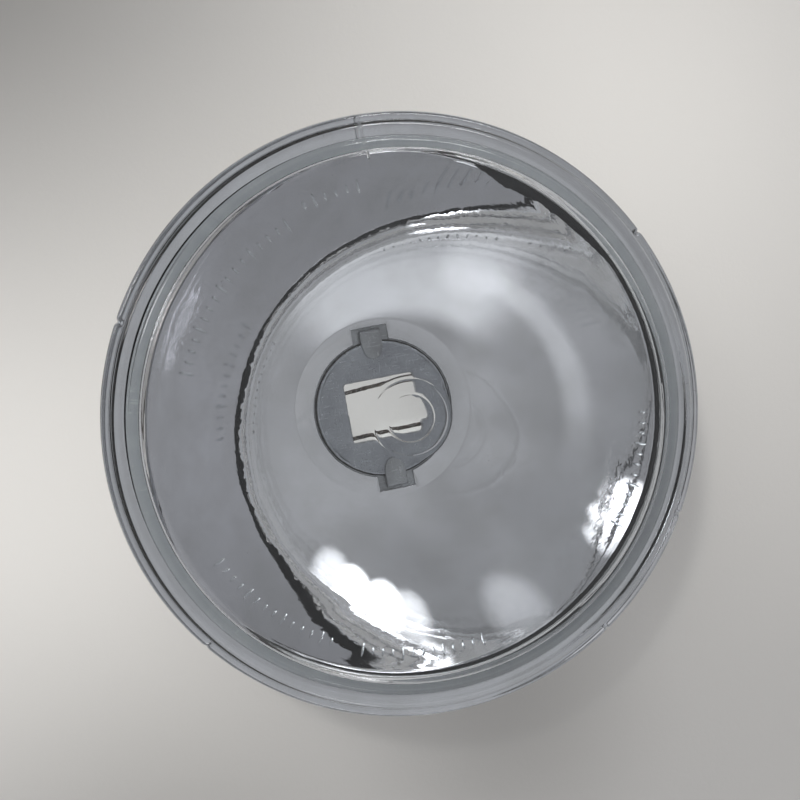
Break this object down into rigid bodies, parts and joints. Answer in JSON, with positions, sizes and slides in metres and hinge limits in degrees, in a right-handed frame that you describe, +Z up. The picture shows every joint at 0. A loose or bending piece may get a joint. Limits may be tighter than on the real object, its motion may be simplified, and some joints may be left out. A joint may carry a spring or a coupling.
{
  "type": "fog light lens and reflector unit",
  "caption": "Round fog-light optical unit: stepped clear glass lens bonded to a mirror bowl, with a clinched bulb carrier and a hinged wire bulb clip at the back.",
  "frame": {"origin": "centre of the glass rim's rear face, where a housing's ring closes on it", "axes": "beam leaves along -Y, +Y points to the back of the lamp, +Z is up, +X is the side of the clip's hinge"},
  "size_m": [0.146, 0.055, 0.146],
  "materials": {
    "lens_glass": "clear pressed glass, faint blue-grey tint",
    "bond": "black adhesive bond",
    "reflector_steel": "vacuum aluminised inside, grey zinc-coated sheet behind",
    "collar_steel": "zinc-plated pressed sheet",
    "gasket_rubber": "black rubber",
    "carrier_steel": "satin grey pressed sheet",
    "spring_wire": "drawn spring wire, lightly browned",
    "bracket_steel": "zinc-plated pressed sheet",
    "rivet_steel": "bright rivets",
    "terminal_brass": "tinned brass blade"
  },
  "bodies": {
    "unit": {"lens": "lens_glass", "lens_seal": "bond", "reflector": "reflector_steel", "neck_collar": "collar_steel", "carrier_gasket": "gasket_rubber", "bulb_carrier": "carrier_steel", "clip_bracket": "bracket_steel", "bracket_rivet_upper": "rivet_steel", "bracket_rivet_lower": "rivet_steel", "catch_upper": "bracket_steel", "catch_lower": "bracket_steel", "catch_rivet_upper": "rivet_steel", "catch_rivet_lower": "rivet_steel", "earth_blade": "terminal_brass", "earth_rivet": "rivet_steel"},
    "clip": {"bulb_clip": "spring_wire"}
  },
  "joints": [
    {"name": "clip_swing", "type": "hinge", "parent": "unit", "child": "clip", "pos_m": [0.0139, 0.03549, 0], "axis": [0, 0, -1], "range_deg": [0, 105]}
  ]
}
